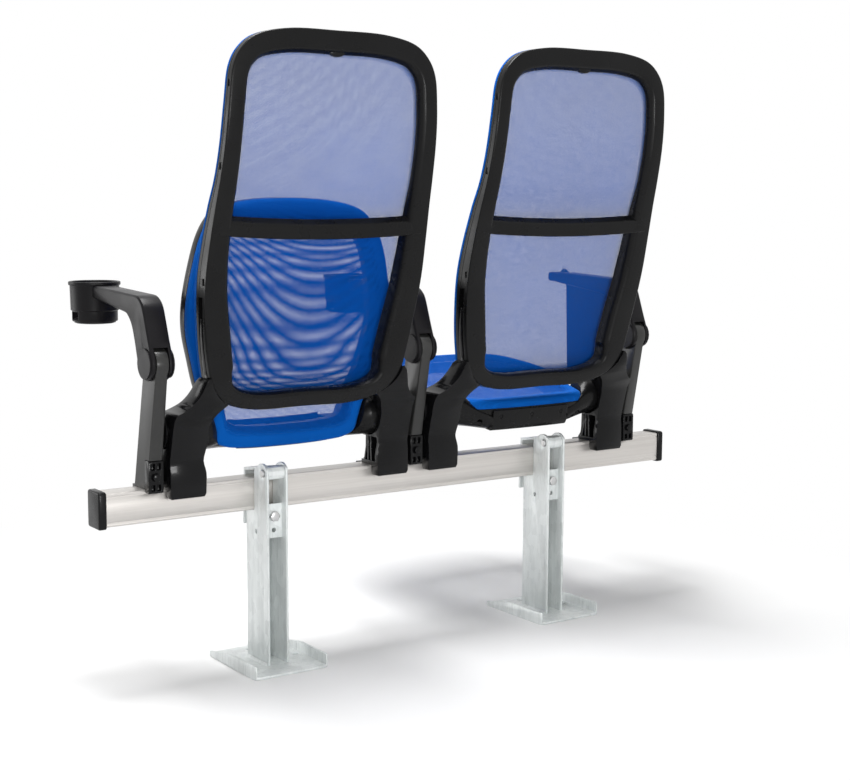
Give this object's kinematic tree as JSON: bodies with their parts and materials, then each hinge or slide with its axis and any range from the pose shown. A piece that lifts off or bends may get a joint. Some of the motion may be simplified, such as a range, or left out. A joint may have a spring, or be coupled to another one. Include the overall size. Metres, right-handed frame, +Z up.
{
  "type": "stadium seat",
  "caption": "Two-place beam-mounted row of tip-up seats with blue mesh backs, folding armrests, cup holders and a swing-over writing tablet on floor pedestals.",
  "frame": {"origin": "on the floor, under the middle of the row's length and depth", "axes": "+Z up, the sitters face -Y, +X runs along the beam to the sitter's left"},
  "size_m": [1.3186, 0.616, 1.1424],
  "materials": {
    "beam_aluminium": "satin, extruded",
    "zinc_steel": "zinc plated, satin",
    "bright_steel": "plain bright steel",
    "gloss_black": "glossy black coat on a casting",
    "post_paint": "satin dark grey coat",
    "black_plastic": "fine-grained moulded black",
    "arm_plastic": "satin moulded black",
    "blue_mesh": "open woven mesh"
  },
  "bodies": {
    "frame": {"beam": "beam_aluminium", "left_beam_cap": "black_plastic", "right_beam_cap": "black_plastic", "left_pedestal_channel": "zinc_steel", "left_base_plate": "zinc_steel", "left_clamp_strap": "zinc_steel", "left_clamp_pin": "bright_steel", "left_clamp_bolt": "bright_steel", "left_clamp_nut": "bright_steel", "right_pedestal_channel": "zinc_steel", "right_base_plate": "zinc_steel", "right_clamp_strap": "zinc_steel", "right_clamp_pin": "bright_steel", "right_clamp_bolt": "bright_steel", "right_clamp_nut": "bright_steel", "left_seat_outer_seat_bracket": "gloss_black", "left_seat_outer_pivot_cap": "black_plastic", "left_seat_outer_hinge_pin": "bright_steel", "left_seat_inner_seat_bracket": "gloss_black", "left_seat_inner_pivot_cap": "black_plastic", "left_seat_inner_hinge_pin": "bright_steel", "left_back_frame": "black_plastic", "left_back_mesh": "blue_mesh", "right_seat_outer_seat_bracket": "gloss_black", "right_seat_outer_pivot_cap": "black_plastic", "right_seat_outer_hinge_pin": "bright_steel", "right_seat_inner_seat_bracket": "gloss_black", "right_seat_inner_pivot_cap": "black_plastic", "right_seat_inner_hinge_pin": "bright_steel", "right_back_frame": "black_plastic", "right_back_mesh": "blue_mesh", "left_arm_post": "post_paint", "left_post_clamp": "gloss_black", "left_post_bolt": "bright_steel", "middle_arm_post": "post_paint", "middle_post_clamp": "gloss_black", "middle_post_bolt": "bright_steel", "right_arm_post": "post_paint", "right_post_clamp": "gloss_black", "right_post_bolt": "bright_steel"},
    "left_seat": {"left_seat_frame": "black_plastic", "left_seat_mesh": "blue_mesh", "left_seat_rear_cover": "black_plastic", "left_seat_left_barrel": "black_plastic", "left_seat_right_barrel": "black_plastic"},
    "right_seat": {"right_seat_frame": "black_plastic", "right_seat_mesh": "blue_mesh", "right_seat_rear_cover": "black_plastic", "right_seat_left_barrel": "black_plastic", "right_seat_right_barrel": "black_plastic"},
    "left_arm": {"left_armrest": "arm_plastic", "left_arm_pivot": "arm_plastic", "left_cup_holder": "arm_plastic"},
    "middle_arm": {"middle_armrest": "arm_plastic", "middle_arm_pivot": "arm_plastic", "middle_cup_holder": "arm_plastic"},
    "right_arm": {"right_armrest": "arm_plastic", "right_arm_pivot": "arm_plastic", "tablet_pin": "bright_steel"},
    "tablet": {"writing_tablet": "arm_plastic"}
  },
  "joints": [
    {"name": "left_seat_tip", "type": "hinge", "parent": "frame", "child": "left_seat", "pos_m": [0.283, 0.10512, 0.447], "axis": [1, 0, 0], "range_deg": [0, 88]},
    {"name": "right_seat_tip", "type": "hinge", "parent": "frame", "child": "right_seat", "pos_m": [-0.267, 0.10512, 0.447], "axis": [-1, 0, 0], "range_deg": [0, 88]},
    {"name": "left_arm_fold", "type": "hinge", "parent": "frame", "child": "left_arm", "pos_m": [0.558, 0.14512, 0.574], "axis": [-1, 0, 0], "range_deg": [0, 90]},
    {"name": "middle_arm_fold", "type": "hinge", "parent": "frame", "child": "middle_arm", "pos_m": [0.008, 0.14512, 0.574], "axis": [-1, 0, 0], "range_deg": [0, 90]},
    {"name": "right_arm_fold", "type": "hinge", "parent": "frame", "child": "right_arm", "pos_m": [-0.542, 0.14512, 0.574], "axis": [-1, 0, 0], "range_deg": [0, 75]},
    {"name": "tablet_swing", "type": "hinge", "parent": "right_arm", "child": "tablet", "pos_m": [-0.5625, -0.10788, 0.695], "axis": [-0.7071, 0, 0.7071], "range_deg": [0, 180]}
  ]
}
